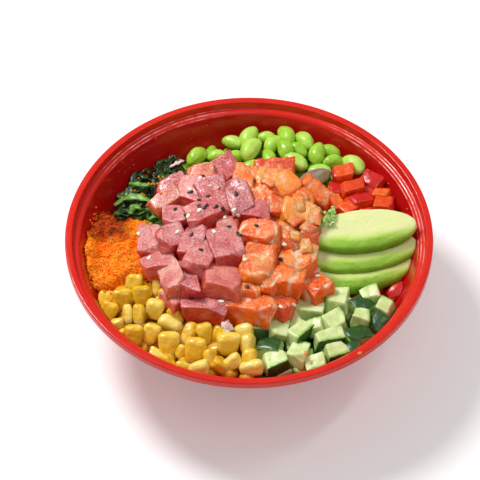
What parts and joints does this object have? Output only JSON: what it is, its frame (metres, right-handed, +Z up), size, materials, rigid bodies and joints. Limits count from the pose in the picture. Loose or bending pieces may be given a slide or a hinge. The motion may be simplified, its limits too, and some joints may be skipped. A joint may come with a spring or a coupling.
{
  "type": "poke bowl",
  "caption": "Shallow round bowl of rice topped with diced raw fish, avocado slices and a ring of vegetables, seaweed and roe.",
  "frame": {"origin": "middle of the bowl's foot, on the surface it stands on", "axes": "+Z up; -Y towards the eater, so that the corn lies front left and the cucumber front right; +X to the eater's right"},
  "size_m": [0.2, 0.2, 0.0771],
  "materials": {
    "bowl": "glossy moulded red plastic",
    "rice": "cooked rice",
    "edamame": "moist green beans",
    "wakame": "wet dark green seaweed",
    "masago": "wet orange fish roe",
    "corn": "shiny yellow kernels",
    "cucumber": "moist pale green flesh with dark green skin",
    "pepper": "red skin and moist orange-red flesh",
    "tuna": "moist raw tuna in a thin sauce",
    "salmon": "moist raw salmon with pale lines of fat",
    "avocado": "soft pale green flesh, darker at its outside",
    "onion": "thin moist purple-green slice"
  },
  "bodies": {
    "root": {"bowl": "bowl", "rice": "rice", "edamame_heap": "edamame", "wakame_heap": "wakame", "masago_heap": "masago", "corn_heap": "corn", "cucumber_heap": "cucumber", "pepper_heap": "pepper", "red_onion_slice": "onion", "avocado_slice_1": "avocado", "avocado_slice_2": "avocado", "avocado_slice_3": "avocado", "tuna_01": "tuna", "tuna_02": "tuna", "tuna_03": "tuna", "tuna_04": "tuna", "tuna_05": "tuna", "tuna_06": "tuna", "tuna_07": "tuna", "tuna_08": "tuna", "tuna_09": "tuna", "tuna_10": "tuna", "tuna_11": "tuna", "tuna_12": "tuna", "tuna_13": "tuna", "tuna_14": "tuna", "tuna_15": "tuna", "tuna_16": "tuna", "tuna_17": "tuna", "tuna_18": "tuna", "tuna_19": "tuna", "tuna_20": "tuna", "tuna_21": "tuna", "tuna_22": "tuna", "tuna_23": "tuna", "salmon_01": "salmon", "salmon_02": "salmon", "salmon_03": "salmon", "salmon_04": "salmon", "salmon_05": "salmon", "salmon_06": "salmon", "salmon_07": "salmon", "salmon_08": "salmon", "salmon_09": "salmon", "salmon_10": "salmon", "salmon_11": "salmon", "salmon_12": "salmon", "salmon_13": "salmon", "salmon_14": "salmon", "salmon_15": "salmon", "salmon_16": "salmon", "salmon_17": "salmon", "salmon_18": "salmon", "salmon_19": "salmon"}
  },
  "joints": []
}
